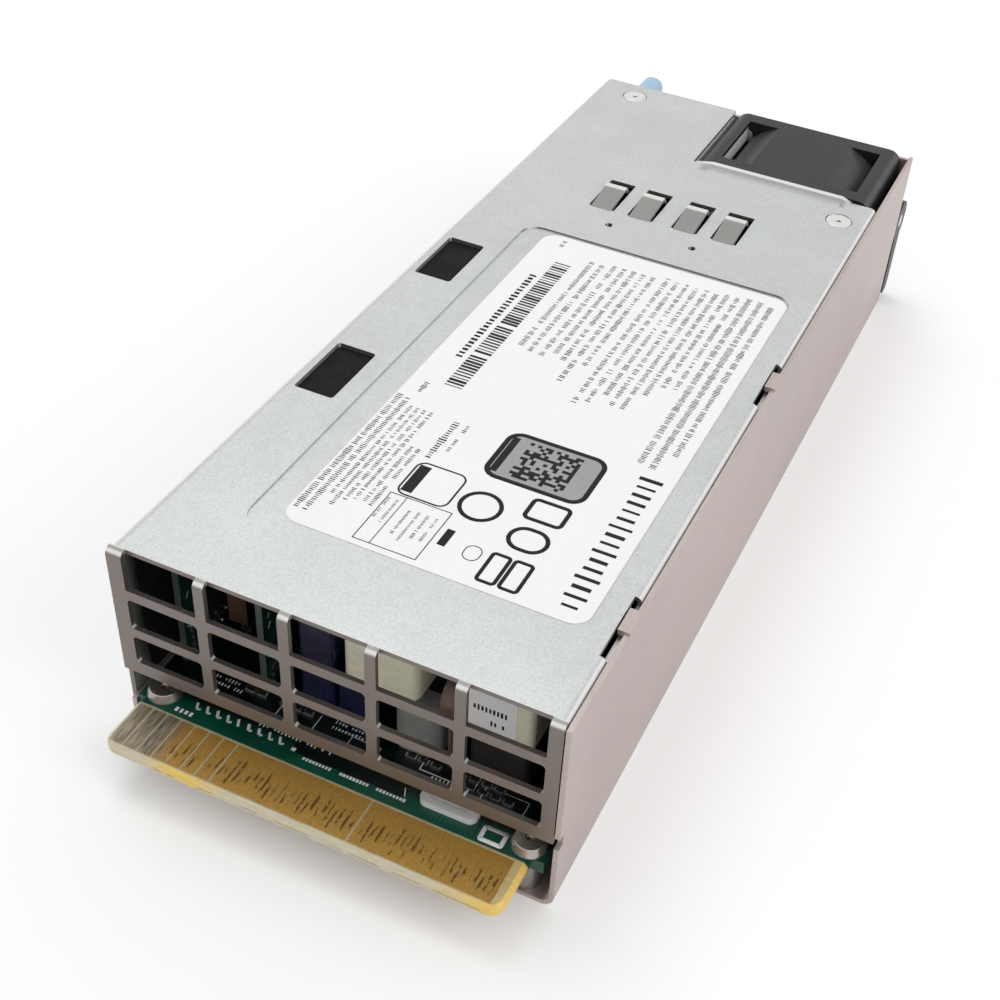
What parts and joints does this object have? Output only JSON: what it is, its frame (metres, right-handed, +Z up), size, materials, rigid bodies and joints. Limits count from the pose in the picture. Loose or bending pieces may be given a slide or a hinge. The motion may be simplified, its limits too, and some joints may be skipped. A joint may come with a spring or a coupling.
{
  "type": "hot swap server power supply",
  "caption": "Slim sheet metal server power supply with a vented end grille, gold card edge, built-in fan, swinging handle, mains inlet and side latch.",
  "frame": {"origin": "centre of the case's bottom face", "axes": "+X across the unit towards the fan side, +Y from the card edge to the mains inlet end, +Z up through the labelled top"},
  "size_m": [0.0756, 0.207, 0.0403],
  "materials": {
    "zinc_steel": "brushed zinc",
    "galvanised_steel": "speckled galvanised",
    "bright_sheet": "satin",
    "nickel_screw": "nickel plated",
    "label_stock": "semi gloss",
    "insulator_film": "matte",
    "board_laminate": "solder mask over pale laminate",
    "gold_plate": "gold plated",
    "chip_plastic": "matte",
    "copper": "enamelled copper",
    "blue_epoxy": "gloss",
    "cream_tape": "polyester tape",
    "ferrite": "sintered",
    "silicone": "soft",
    "disc_coat": "lacquer",
    "tinned_metal": "tinned",
    "sink_aluminium": "extruded",
    "can_sleeve": "shrink sleeve",
    "fuse_ceramic": "matte",
    "black_nylon": "satin",
    "bearing_bronze": "sintered bronze",
    "shaft_steel": "ground",
    "lead_sleeve": "matte",
    "clear_pipe": "translucent",
    "blue_tab": "translucent blue"
  },
  "bodies": {
    "case": {"chassis": "zinc_steel", "top_cover": "galvanised_steel", "fan_divider": "bright_sheet", "latch_root": "bright_sheet", "cover_screws": "nickel_screw", "board_screws": "nickel_screw", "fan_screws": "nickel_screw", "latch_rivets": "nickel_screw", "board_standoffs": "nickel_screw", "handle_pins": "nickel_screw", "fan_guard": "nickel_screw", "rating_label": "label_stock", "insulator_sheet": "insulator_film", "main_board": "board_laminate", "control_board": "board_laminate", "rectifier_board": "board_laminate", "edge_contacts": "gold_plate", "control_chips": "chip_plastic", "power_switches": "chip_plastic", "bridge_rectifier": "chip_plastic", "inrush_relay": "chip_plastic", "pin_header": "chip_plastic", "fan_plug": "chip_plastic", "status_diode": "chip_plastic", "output_busbar": "copper", "boost_choke_winding": "copper", "filter_choke_winding": "copper", "film_capacitors": "blue_epoxy", "earth_capacitors": "blue_epoxy", "transformer_winding": "cream_tape", "standby_transformer": "cream_tape", "standby_bobbin": "cream_tape", "line_capacitors": "cream_tape", "transformer_core": "ferrite", "boost_choke_core": "ferrite", "filter_choke_core": "ferrite", "silicone_bead": "silicone", "surge_limiter": "disc_coat", "sense_shunt": "tinned_metal", "inlet_blades": "tinned_metal", "fuse_clips": "tinned_metal", "primary_heatsink": "sink_aluminium", "secondary_heatsink": "sink_aluminium", "bulk_capacitor": "can_sleeve", "output_capacitors": "can_sleeve", "mains_fuse": "fuse_ceramic", "fan_frame": "black_nylon", "fan_stator": "black_nylon", "mains_inlet": "black_nylon", "fan_bearing": "bearing_bronze", "fan_lead": "lead_sleeve", "inlet_leads": "lead_sleeve", "light_pipe": "clear_pipe"},
    "fan_rotor": {"fan_impeller": "black_nylon", "fan_shaft": "shaft_steel"},
    "handle": {"handle": "black_nylon"},
    "latch": {"latch_leaf": "bright_sheet", "latch_tab": "blue_tab"}
  },
  "joints": [
    {"name": "fan_spin", "type": "hinge", "parent": "case", "child": "fan_rotor", "pos_m": [0.01535, 0.0768, 0.0204], "axis": [0, 1, 0], "continuous": true},
    {"name": "handle_swing", "type": "hinge", "parent": "case", "child": "handle", "pos_m": [0.01535, 0.0977, 0.0204], "axis": [1, 0, 0], "range_deg": [0, 90]},
    {"name": "latch_press", "type": "hinge", "parent": "case", "child": "latch", "pos_m": [-0.0356, 0.0585, 0.0303], "axis": [0, 0, -1], "range_deg": [0, 6], "stiffness_Nm_per_rad": 1.5}
  ]
}
